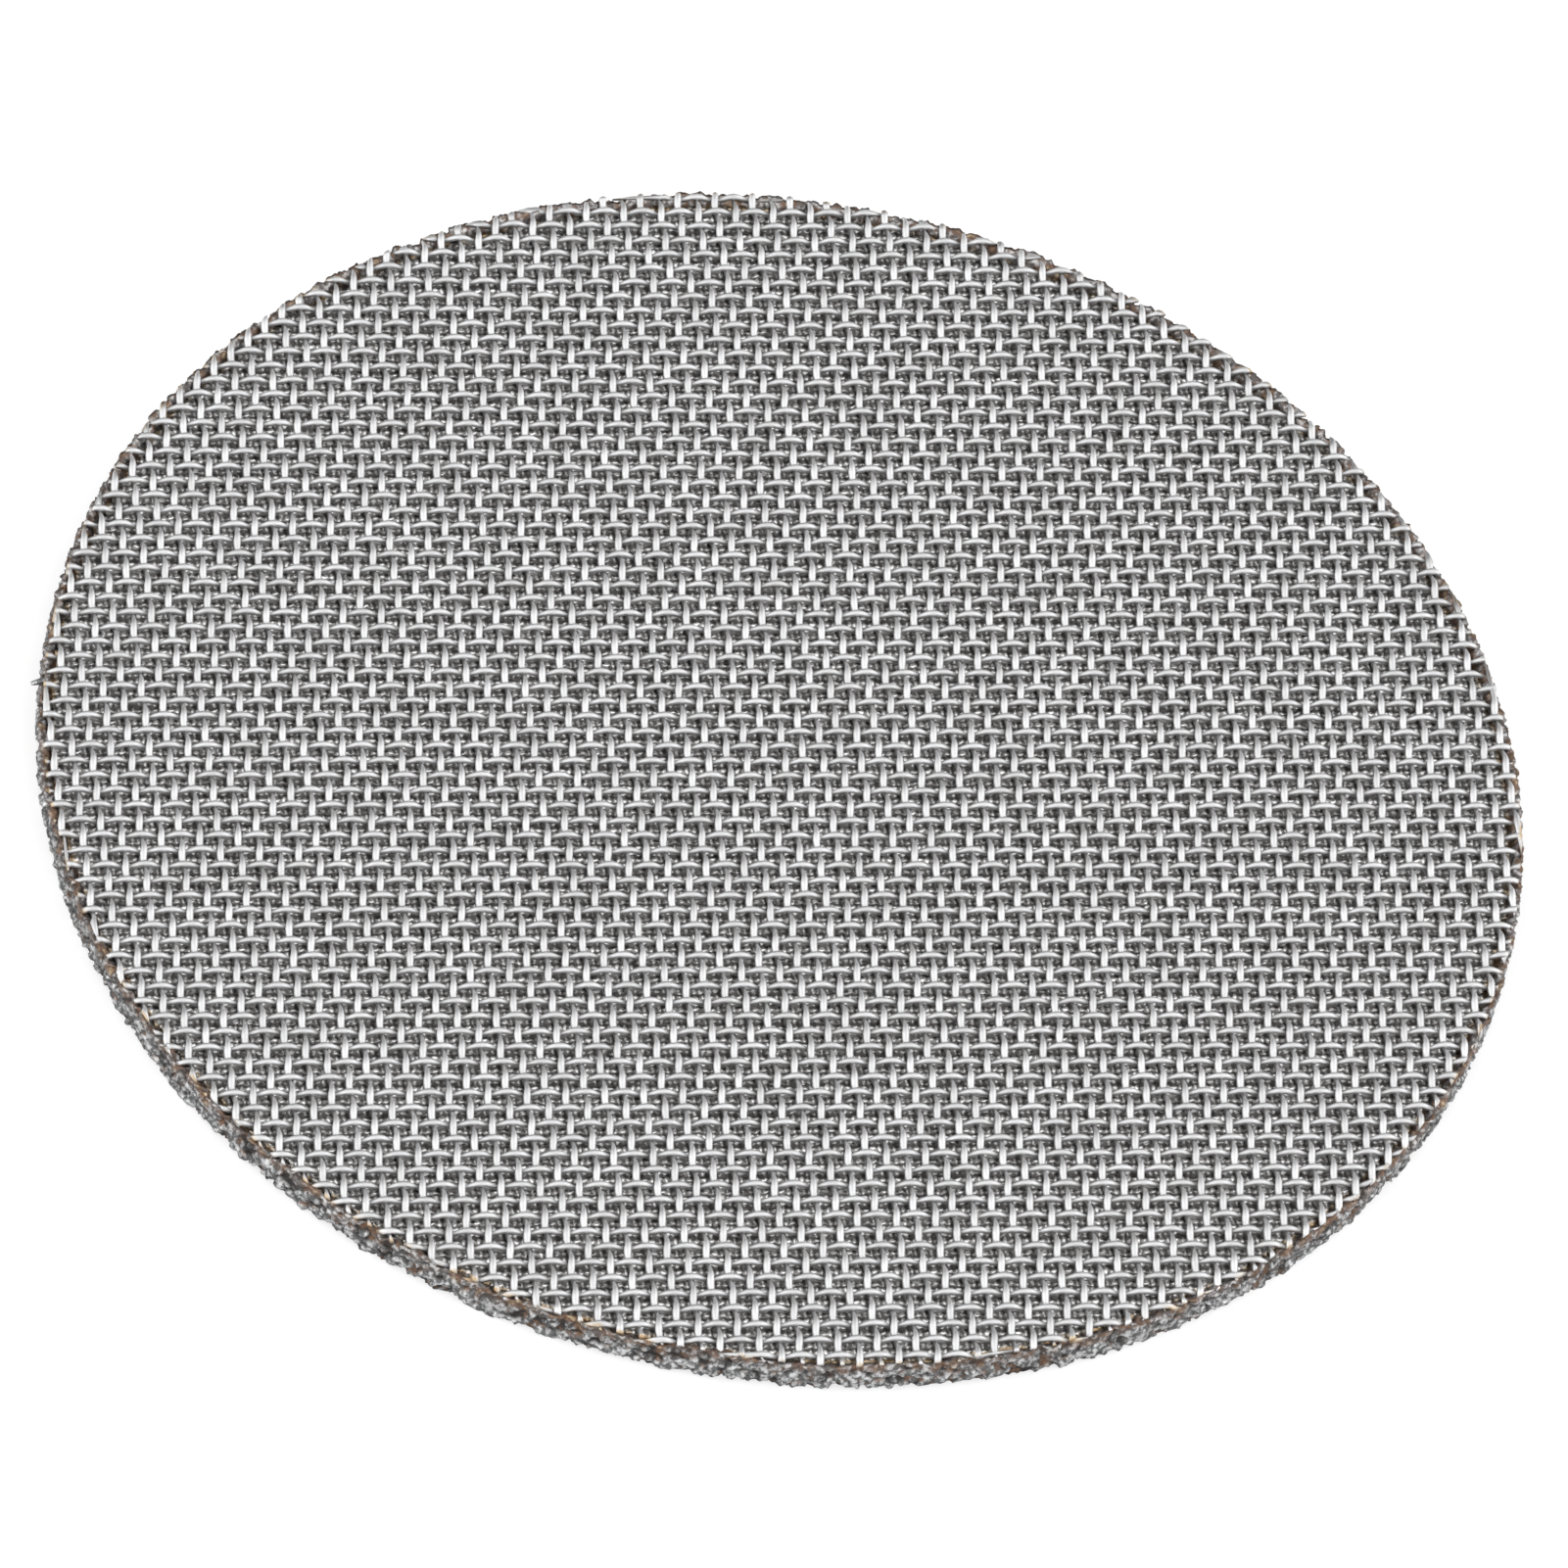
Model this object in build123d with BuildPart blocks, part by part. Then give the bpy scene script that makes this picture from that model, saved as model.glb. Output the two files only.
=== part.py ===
# Round sintered wire mesh disc for an espresso filter basket.
# Coarse plain weave mesh lies on both faces of a dense core of finer mesh, and all of it is
# bonded into one piece and cut round. The origin is the centre of the underside, +Z is up.
from build123d import *
import os
from math import ceil

# Driving dimensions, in millimetres
disc_diameter = 58.5  # drops into a filter basket for a 58 mm group
disc_thickness = 1.7  # over the wire crests of both faces
wire_diameter = 0.28  # mean of the wires of the coarse outer mesh
warp_pitch = 0.74  # between neighbouring wires that run along X
weft_pitch = 0.76  # between neighbouring wires that run along Y
wires_per_ridge = 4  # one wire in this many is modelled, as a ridge

# Sizes that follow from them
ridge_height = wire_diameter  # ridges stand this far out of the mesh between them
ridge_half_width = wire_diameter  # flanks slope at 45 degrees
block_half_width = disc_diameter / 2 + ridge_half_width


def ridge_section(wire_pitch):
    """Corners of one mesh block's section, with ridges at the places of wires on both faces.

    The upper face runs left to right, from foot to crest to foot of each ridge, and the
    lower face mirrors it on the way back.
    """
    ridge_pitch = wires_per_ridge * wire_pitch
    ridges_each_side = ceil(block_half_width / ridge_pitch) - 1
    upper = [(-block_half_width, -ridge_height)]
    for number in range(-ridges_each_side, ridges_each_side + 1):
        middle = number * ridge_pitch
        upper.append((middle - ridge_half_width, -ridge_height))
        upper.append((middle, 0))
        upper.append((middle + ridge_half_width, -ridge_height))
    upper.append((block_half_width, -ridge_height))
    top_face = [(across, disc_thickness + drop) for across, drop in upper]
    bottom_face = [(across, -drop) for across, drop in reversed(upper)]
    return top_face + bottom_face


def mesh_block(section_plane, wire_pitch):
    """Square block with parallel ridges on both faces, which run across the given plane."""
    with BuildPart() as block:
        with BuildSketch(section_plane):
            with BuildLine():
                Polyline(*ridge_section(wire_pitch), close=True)
            make_face()
        extrude(amount=block_half_width, both=True)
    return block.part


# Ridges along X and ridges along Y cross each other, and the round outline is cut last
with BuildPart() as mesh_disc:
    add(mesh_block(Plane.YZ, warp_pitch))
    add(mesh_block(Plane.XZ, weft_pitch))
    with BuildSketch(Plane.XY):
        Circle(disc_diameter / 2)
    extrude(amount=disc_thickness, mode=Mode.INTERSECT)

mesh_disc.part.label = "mesh_disc"
os.makedirs("parts", exist_ok=True)
export_step(mesh_disc.part, "parts/mesh_disc.step")
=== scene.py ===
"""Looks of a round sintered wire mesh disc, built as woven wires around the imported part.

Coarse plain weave lies on both faces of a core of fine mesh. The layers are bonded together
and cut round with heat, which leaves a rough rim with brown tints. Lengths are in metres in
the part's frame: warp wires run along X, weft wires run along Y, +Z is up, and the origin is
the centre of the underside.
"""

import logging
import math
from dataclasses import dataclass
from enum import Enum

import bpy
import numpy as np
from mathutils import Matrix, Vector


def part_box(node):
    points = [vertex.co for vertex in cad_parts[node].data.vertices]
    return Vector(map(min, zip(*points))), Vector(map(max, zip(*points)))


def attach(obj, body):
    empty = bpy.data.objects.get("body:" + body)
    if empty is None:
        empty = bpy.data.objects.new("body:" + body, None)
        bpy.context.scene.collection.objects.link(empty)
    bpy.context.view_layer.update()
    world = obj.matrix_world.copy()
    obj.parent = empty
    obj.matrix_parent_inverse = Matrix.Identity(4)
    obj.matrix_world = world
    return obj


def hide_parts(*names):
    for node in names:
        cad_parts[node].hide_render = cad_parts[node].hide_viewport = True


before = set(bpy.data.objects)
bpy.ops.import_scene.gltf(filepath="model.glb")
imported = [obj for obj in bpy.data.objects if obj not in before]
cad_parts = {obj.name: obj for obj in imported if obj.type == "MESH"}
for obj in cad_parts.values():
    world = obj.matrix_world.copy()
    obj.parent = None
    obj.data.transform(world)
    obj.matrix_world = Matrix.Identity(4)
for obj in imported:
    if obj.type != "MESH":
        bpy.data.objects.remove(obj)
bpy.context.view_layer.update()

LOG = logging.getLogger("mesh_disc")
MM = 0.001
BODY = "root"
NODE = "mesh_disc"
UV_MAP = "OFBake"
HOLLOW, SCORCH = "hollow", "scorch"  # numbers on the cut rim's vertices: its pits, which its finish paints with shade, and the reach of the heat

Triple = tuple[float, float, float]
Colour = Triple
Span = tuple[float, float]
Socket = bpy.types.NodeSocket
Value = Socket | float | Triple
SHARE: Span = (0.0, 1.0)
MIX_FIRST, MIX_SECOND, MIX_RESULT = 6, 7, 2  # colour sockets of a Mix node


class Run(Enum):
    """Which way a set of wires runs in a weave."""

    WARP = "warp"
    WEFT = "weft"


def smooth_step(share: np.ndarray) -> np.ndarray:
    """Returns 3t^2 - 2t^3 of the share t held between 0 and 1."""
    held = np.clip(share, 0.0, 1.0)
    return held * held * (3.0 - 2.0 * held)


def value_noise(
    shape: tuple[int, int], cells: tuple[int, int], seed: int, slant: float = 0.0
) -> np.ndarray:
    """Makes seeded noise from 0 to 1 that closes on itself along its first axis.

    Random values stand at the corners of a coarse grid, and each point blends the four
    corners around it with the smooth step of its place in the cell. The grid's second axis
    can slant along the first one.

    Args:
        shape: rows and columns of the result.
        cells: coarse cells along the rows and along the columns.
        seed: start of the random draws.
        slant: cells that the grid moves along the first axis for each cell of the second.

    Returns:
        An array of the given shape.
    """
    corners = np.random.default_rng(seed).random((cells[0], cells[1] + 1))
    across = np.linspace(0.0, cells[1], shape[1])[None, :]
    down = np.arange(shape[0])[:, None] / shape[0] * cells[0] + slant * across
    whole = np.floor(down).astype(int)
    row = whole % cells[0]
    below = (whole + 1) % cells[0]
    column = np.minimum(across.astype(int), cells[1] - 1)
    part_down = smooth_step(down - whole)
    part_across = smooth_step(across - column)
    near = corners[row, column] * (1 - part_down) + corners[below, column] * part_down
    far = corners[row, column + 1] * (1 - part_down) + corners[below, column + 1] * part_down
    return near * (1 - part_across) + far * part_across


def surface(
    name: str, points: np.ndarray, faces: list[np.ndarray], uv: np.ndarray
) -> bpy.types.Object:
    """Puts arrays of points and faces into a smooth-shaded mesh object at the origin.

    Args:
        name: name of the object and its mesh.
        points: one row of x, y and z for each vertex.
        faces: arrays of vertex numbers, one row a face, each array with its own corner count.
        uv: one row of u and v for each face corner, in the order of the faces.

    Returns:
        The new object, linked to the scene.
    """
    mesh = bpy.data.meshes.new(name)
    corners = np.concatenate([block.ravel() for block in faces]).astype(np.int32)
    counts = np.concatenate([np.full(len(block), block.shape[1]) for block in faces])
    starts = (np.cumsum(counts) - counts).astype(np.int32)
    mesh.vertices.add(len(points))
    mesh.vertices.foreach_set("co", points.astype(np.float32).ravel())
    mesh.loops.add(len(corners))
    mesh.loops.foreach_set("vertex_index", corners)
    mesh.polygons.add(len(starts))
    mesh.polygons.foreach_set("loop_start", starts)
    mesh.polygons.foreach_set("use_smooth", np.ones(len(starts), dtype=bool))
    mesh.uv_layers.new(name=UV_MAP).data.foreach_set("uv", uv.astype(np.float32).ravel())
    mesh.update(calc_edges=True)
    mesh.validate()
    piece = bpy.data.objects.new(name, mesh)
    bpy.context.scene.collection.objects.link(piece)
    return piece


class Shading:
    """Short calls that build one material's node tree around a Principled shader."""

    def __init__(self, name: str) -> None:
        """Starts a material with its shader and the place in the part's frame.

        Args:
            name: name of the material.
        """
        self.material = bpy.data.materials.new(name)
        self.material.use_nodes = True
        self.nodes = self.material.node_tree.nodes
        self.links = self.material.node_tree.links
        self.nodes.clear()
        self.shader = self.nodes.new("ShaderNodeBsdfPrincipled")
        output = self.nodes.new("ShaderNodeOutputMaterial")
        self.links.new(self.shader.outputs["BSDF"], output.inputs["Surface"])
        self.place = self.nodes.new("ShaderNodeTexCoord").outputs["Object"]

    def fill(self, socket: Socket, value: Value) -> None:
        """Links a socket to the value if that is an output, and sets it otherwise.

        Args:
            socket: input to fill.
            value: number, colour or output.
        """
        if isinstance(value, Socket):
            self.links.new(value, socket)
        else:
            socket.default_value = value

    def set(self, **values: Value) -> None:
        """Fills the shader's inputs, named with underscores for spaces."""
        for name, value in values.items():
            self.fill(self.shader.inputs[name.replace("_", " ")], value)

    def math(
        self, operation: str, first: Value, second: Value = 0.0, hold: bool = False
    ) -> Socket:
        """Adds a Math node.

        Args:
            operation: Blender's name of the operation.
            first: number or output for the first input.
            second: number or output for the second input.
            hold: whether the result is held between 0 and 1.

        Returns:
            The node's output.
        """
        node = self.nodes.new("ShaderNodeMath")
        node.operation = operation
        node.use_clamp = hold
        self.fill(node.inputs[0], first)
        self.fill(node.inputs[1], second)
        return node.outputs[0]

    def spread(self, value: Value, span: Span, out: Span = SHARE) -> Socket:
        """Maps a value from one span to another, smoothly and held at the ends.

        Args:
            value: output to map.
            span: values that give the first and the second number of out.
            out: the two numbers.

        Returns:
            The mapped output.
        """
        node = self.nodes.new("ShaderNodeMapRange")
        node.interpolation_type = "SMOOTHSTEP"
        node.inputs["From Min"].default_value, node.inputs["From Max"].default_value = span
        node.inputs["To Min"].default_value, node.inputs["To Max"].default_value = out
        self.fill(node.inputs["Value"], value)
        return node.outputs["Result"]

    def noise(self, grain: float, detail: float, stretch: Triple = (1.0, 1.0, 1.0)) -> Socket:
        """Adds noise whose features are about one grain across.

        Args:
            grain: size of a feature in metres.
            detail: octaves of finer noise.
            stretch: how many times longer the grain is along X, Y and Z.

        Returns:
            The noise from 0 to 1.
        """
        mapping = self.nodes.new("ShaderNodeMapping")
        mapping.inputs["Scale"].default_value = [1.0 / (grain * times) for times in stretch]
        self.links.new(self.place, mapping.inputs["Vector"])
        node = self.nodes.new("ShaderNodeTexNoise")
        node.inputs["Scale"].default_value = 1.0
        node.inputs["Detail"].default_value = detail
        self.links.new(mapping.outputs["Vector"], node.inputs["Vector"])
        return node.outputs["Fac"]

    def ramp(self, factor: Value, stops: tuple[tuple[float, Colour], ...]) -> Socket:
        """Adds a colour ramp.

        Args:
            factor: output that runs along the ramp.
            stops: place and colour of each stop, in order.

        Returns:
            The ramp's colour.
        """
        node = self.nodes.new("ShaderNodeValToRGB")
        band = node.color_ramp.elements
        while len(band) < len(stops):
            band.new(1.0)
        for element, (place, colour) in zip(band, stops):
            element.position = place
            element.color = (*colour, 1.0)
        self.fill(node.inputs["Fac"], factor)
        return node.outputs["Color"]

    def mix(self, factor: Value, first: Value, second: Value) -> Socket:
        """Blends two colours.

        Args:
            factor: share of the second colour.
            first: colour or output.
            second: colour or output.

        Returns:
            The blended colour.
        """
        node = self.nodes.new("ShaderNodeMix")
        node.data_type = "RGBA"
        self.fill(node.inputs["Factor"], factor)
        for number, colour in ((MIX_FIRST, first), (MIX_SECOND, second)):
            self.fill(node.inputs[number], (*colour, 1.0) if isinstance(colour, tuple) else colour)
        return node.outputs[MIX_RESULT]

    def axes(self) -> tuple[Socket, Socket, Socket]:
        """Splits the place in the part's frame.

        Returns:
            Its X, Y and Z outputs.
        """
        node = self.nodes.new("ShaderNodeSeparateXYZ")
        self.links.new(self.place, node.inputs[0])
        return node.outputs["X"], node.outputs["Y"], node.outputs["Z"]

    def own(self, attribute: str) -> Socket:
        """Reads a number that the piece's vertices carry.

        Args:
            attribute: its name.

        Returns:
            The number's output.
        """
        node = self.nodes.new("ShaderNodeAttribute")
        node.attribute_name = attribute
        return node.outputs["Fac"]

    def bump(self, height: Value, depth: float) -> None:
        """Raises the shaded surface by a height.

        Args:
            height: output to raise it by.
            depth: length in metres of a height of 1.
        """
        node = self.nodes.new("ShaderNodeBump")
        node.inputs["Strength"].default_value = 1.0
        node.inputs["Distance"].default_value = depth
        self.fill(node.inputs["Height"], height)
        self.links.new(node.outputs["Normal"], self.shader.inputs["Normal"])


@dataclass(frozen=True)
class HeatTint:
    """Oxide colours that the hot cut leaves on the steel, from clean metal to burnt edge."""

    edge: float  # radius of the cut
    reach: float = 0.4 * MM  # how far in from it the heat is felt
    strength: float = 0.38
    straw: Colour = (0.56, 0.42, 0.24)
    brown: Colour = (0.34, 0.2, 0.12)
    burnt: Colour = (0.11, 0.06, 0.045)
    straw_heat: float = 0.42
    brown_heat: float = 0.7
    burnt_heat: float = 0.92
    shown: Span = (0.22, 0.6)  # heat where the tint starts to show and where it covers
    patch: float = 1.1 * MM
    unevenness: float = 1.5
    fade: Span = (0.63 * MM, 0.9 * MM)  # heights between which the heat fades out

    def over(self, shading: Shading, steel: Value) -> Socket:
        """Lays the tint over a steel colour.

        The heat grows with the distance from the disc's axis, fades below the upper mesh,
        and noise makes it patchy.

        Args:
            shading: material to build in.
            steel: colour or output of the clean metal.

        Returns:
            The tinted colour.
        """
        along_x, along_y, height = shading.axes()
        square_x, square_y = (shading.math("POWER", place, 2.0) for place in (along_x, along_y))
        radius = shading.math("SQRT", shading.math("ADD", square_x, square_y))
        outer = shading.spread(radius, (self.edge - self.reach, self.edge))
        heat = shading.math("MULTIPLY", outer, shading.spread(height, self.fade))
        patches = shading.math("SUBTRACT", shading.noise(self.patch, detail=3.0), 0.5)
        uneven = shading.math("MULTIPLY", patches, self.unevenness)
        felt = shading.math("MULTIPLY", heat, shading.math("ADD", uneven, self.strength), hold=True)
        stops = (
            (self.straw_heat, self.straw),
            (self.brown_heat, self.brown),
            (self.burnt_heat, self.burnt),
        )
        return shading.mix(shading.spread(felt, self.shown), steel, shading.ramp(felt, stops))


@dataclass(frozen=True)
class WireFinish:
    """Satin drawn stainless wire, with painted shade where it dips between its neighbours."""

    run: Run
    thickness: float  # of the disc
    heat: HeatTint
    pale: Colour = (0.73, 0.73, 0.735)
    dull: Colour = (0.61, 0.61, 0.612)
    cloud: float = 1.6 * MM
    cloud_span: Span = (0.3, 0.7)
    grain: float = 0.035 * MM
    grain_length: float = 9.0
    grain_depth: float = 0.0022 * MM
    grain_span: Span = (0.25, 0.75)
    roughness: Span = (0.46, 0.56)
    # painted shade: the steel darkens towards this colour where the wires lie deep between their
    # neighbours
    recess_shade: Colour = (0.36, 0.354, 0.348)
    recess_shade_depth: Span = (0.17 * MM, 0.42 * MM)

    def material(self) -> bpy.types.Material:
        """Builds clouded steel with a fine grain drawn along the wire, painted shade in the
        recesses and heat at the rim.

        The depth that the painted shade follows is counted from the nearer face of the disc.

        Returns:
            The material.
        """
        shading = Shading(f"{self.run.value}_wire_steel")
        clouds = shading.spread(shading.noise(self.cloud, detail=3.0), self.cloud_span)
        steel = shading.mix(clouds, self.dull, self.pale)
        half = self.thickness / 2
        _, _, height = shading.axes()
        from_middle = shading.math("ABSOLUTE", shading.math("SUBTRACT", height, half))
        depth = shading.math("SUBTRACT", half, from_middle)
        # painted shade in the recesses, growing with the depth from the nearer face
        steel = shading.mix(shading.spread(depth, self.recess_shade_depth), steel, self.recess_shade)
        along = self.run is Run.WARP
        stretch = (self.grain_length, 1.0, 1.0) if along else (1.0, self.grain_length, 1.0)
        grain = shading.noise(self.grain, detail=2.0, stretch=stretch)
        shading.set(
            Base_Color=self.heat.over(shading, steel),
            Metallic=1.0,
            Roughness=shading.spread(grain, self.grain_span, self.roughness),
        )
        shading.bump(grain, self.grain_depth)
        return shading.material


@dataclass(frozen=True)
class FineMeshFinish:
    """Fine woven mesh: painted highlights on the knuckles over painted shade in the pores."""

    warp_pitch: float
    weft_pitch: float
    heat: HeatTint
    # painted highlight on the knuckles and painted shade in the pores, over the fine mesh's steel
    knuckle_highlight: Colour = (0.98, 0.975, 0.97)
    pore: Colour = (0.3, 0.292, 0.284)
    shown: Span = (0.1, 1.2)  # heights of the pores' painted shade and of the knuckles' painted highlight
    drawn: float = 0.6  # how far the knuckles are drawn out
    wobble: float = 3.2  # angle of the whole range of the noise
    wobble_x: float = 0.5 * MM
    wobble_y: float = 0.4 * MM
    wobble_y_stretch: Triple = (1.0, 0.7, 1.0)
    cloud: float = 0.35 * MM
    cloud_stretch: Triple = (1.3, 1.0, 1.0)
    cloud_height: float = 4.0
    roughness: float = 0.38
    relief: float = 0.012 * MM

    def material(self) -> bpy.types.Material:
        """Builds the weave's painted highlights and painted shade from cosines of the place.

        With x and y counted in pitches, cos(2 pi x) + cos(2 pi y) peaks where wires cross
        and is lowest in the pores. The product cos(pi x) cos(pi y) changes sign from one
        crossing to the next, and draws each knuckle out along the wire that lies on top.
        Noise shifts both angles, because the layers below lie askew.

        Returns:
            The material.
        """
        shading = Shading("fine_mesh_steel")
        along_x, along_y, _ = shading.axes()
        askew_x = shading.noise(self.wobble_x, detail=1.0)
        askew_y = shading.noise(self.wobble_y, detail=1.0, stretch=self.wobble_y_stretch)
        turn_x = self.turn(shading, along_x, self.weft_pitch, askew_x)
        turn_y = self.turn(shading, along_y, self.warp_pitch, askew_y)
        side = shading.math(
            "MULTIPLY",
            shading.math("COSINE", shading.math("MULTIPLY", turn_x, 0.5)),
            shading.math("COSINE", shading.math("MULTIPLY", turn_y, 0.5)),
        )
        stretched = shading.math("MULTIPLY", side, self.drawn)
        drawn_x = shading.math("SUBTRACT", 1.0, stretched)
        drawn_y = shading.math("ADD", 1.0, stretched)
        height = shading.math(
            "ADD",
            shading.math("MULTIPLY", shading.math("COSINE", turn_x), drawn_x),
            shading.math("MULTIPLY", shading.math("COSINE", turn_y), drawn_y),
        )
        clouds = shading.noise(self.cloud, detail=1.0, stretch=self.cloud_stretch)
        raised = shading.math("MULTIPLY", shading.math("SUBTRACT", clouds, 0.5), self.cloud_height)
        share = shading.spread(shading.math("ADD", height, raised), self.shown)
        # painted shade in the pores and painted highlight on the knuckles, under the heat tint
        tinted = self.heat.over(shading, shading.mix(share, self.pore, self.knuckle_highlight))
        shading.set(Base_Color=tinted, Metallic=1.0, Roughness=self.roughness)
        shading.bump(height, self.relief)
        return shading.material

    def turn(self, shading: Shading, place: Value, pitch: float, askew: Value) -> Socket:
        """Returns the angle 2 pi place / pitch, shifted by the noise times the wobble."""
        even = shading.math("MULTIPLY", place, 2 * math.pi / pitch)
        return shading.math("ADD", even, shading.math("MULTIPLY", askew, self.wobble))


@dataclass(frozen=True)
class CutRimFinish:
    """Smeared, partly melted steel of the cut wall."""

    smeared: Colour = (0.14, 0.142, 0.144)
    bright: Colour = (0.6, 0.602, 0.605)
    # painted shade in the wall's pits
    hollow: Colour = (0.05, 0.046, 0.044)
    burnt: Colour = (0.17, 0.105, 0.072)
    straw: Colour = (0.40, 0.31, 0.2)
    fleck: float = 0.22 * MM
    fleck_span: Span = (0.42, 0.62)
    gloss_span: Span = (0.4, 0.7)
    roughness: Span = (0.52, 0.34)
    patch: float = 0.5 * MM
    burnt_span: Span = (0.5, 0.6)
    straw_span: Span = (0.6, 0.7)
    scorch_span: Span = (0.42, 0.6)
    scorch_share: Span = (0.2, 0.9)
    grit: float = 0.07 * MM
    grit_depth: float = 0.02 * MM

    def material(self) -> bpy.types.Material:
        """Builds grey metal with bright flecks, painted shade in the hollows, partly brown with
        burnt oxide, and a brown upper edge.

        Returns:
            The material.
        """
        shading = Shading("cut_rim_steel")
        flecks = shading.noise(self.fleck, detail=4.0)
        grey = shading.mix(shading.spread(flecks, self.fleck_span), self.smeared, self.bright)
        patches = shading.noise(self.patch, detail=3.0)
        # the pits get near-black painted shade, or in patches the brown of burnt oxide
        pit_shade_and_oxide = shading.mix(shading.spread(patches, self.burnt_span), self.hollow, self.burnt)
        marked = shading.mix(shading.own(HOLLOW), grey, pit_shade_and_oxide)
        tint = shading.mix(shading.spread(patches, self.straw_span), self.burnt, self.straw)
        felt = shading.spread(patches, self.scorch_span, self.scorch_share)
        share = shading.math("MULTIPLY", shading.own(SCORCH), felt)
        shading.set(
            Base_Color=shading.mix(share, marked, tint),
            Metallic=1.0,
            Roughness=shading.spread(flecks, self.gloss_span, self.roughness),
        )
        shading.bump(shading.noise(self.grit, detail=3.0), self.grit_depth)
        return shading.material


@dataclass(frozen=True)
class Weave:
    """Pitches, wires and places of one plain weave."""

    warp_pitch: float
    weft_pitch: float
    warp_wire: float
    weft_wire: float
    warp_start: float
    weft_start: float
    skew: float  # sideways run of the weft for each length along it
    sway: float  # sideways swing of the weft at each crossing
    bond: float = 0.94  # distance between crossing wires' middles, in mean diameters
    warp_share: float = 0.55  # the warp's part of that distance
    warp_taper: float = 0.34  # share of the width that is lost away from a crest
    weft_taper: float = 0.54
    weft_wrap: float = 0.98  # half turns, as the next two
    weft_lead: float = 0.35
    weft_fall: float = 1.2

    def across(self, run: Run) -> Span:
        """Finds where the wires of one direction lie.

        Args:
            run: the way the wires run.

        Returns:
            Their pitch and the place of wire 0.
        """
        if run is Run.WARP:
            return self.warp_pitch, self.warp_start
        return self.weft_pitch, self.weft_start

    def wire(self, run: Run) -> float:
        """Returns the diameter of the wires that run this way."""
        return self.warp_wire if run is Run.WARP else self.weft_wire

    def crimp(self, run: Run) -> float:
        """Finds how far the wires of one direction swing from the middle of the mesh.

        Where two wires cross, their middles stand apart by a little less than their mean
        diameter, because they are bonded, and the two directions share that swing.

        Args:
            run: the way the wires run.

        Returns:
            Their swing, up and down.
        """
        apart = self.bond * (self.warp_wire + self.weft_wire) / 2
        share = self.warp_share if run is Run.WARP else 1.0 - self.warp_share
        return apart * share

    def half_height(self) -> float:
        """Returns the height of the highest crests over the middle of the mesh."""
        return max(self.crimp(run) + self.wire(run) / 2 for run in Run)

    def swell(self, run: Run, phase: np.ndarray) -> np.ndarray:
        """Finds the wires' width as a share of their diameter.

        The crests are pressed wide. The warp narrows evenly on both sides of a crest, with
        the cosine of the angle from it. The weft narrows only on the far side, with the
        smooth step of the half turns behind the crest. They run from -wrap to 2 - wrap, and
        the step starts at -lead and takes fall of them.

        Args:
            run: the way the wires run.
            phase: angle at each sample, 0 on the weft's crests and pi on the warp's.

        Returns:
            The width at each sample.
        """
        if run is Run.WARP:
            return 1.0 - self.warp_taper * (1.0 + np.cos(phase)) / 2
        behind = np.mod(phase / math.pi + self.weft_wrap, 2.0) - self.weft_wrap
        return 1.0 - self.weft_taper * smooth_step((behind + self.weft_lead) / self.weft_fall)


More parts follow.
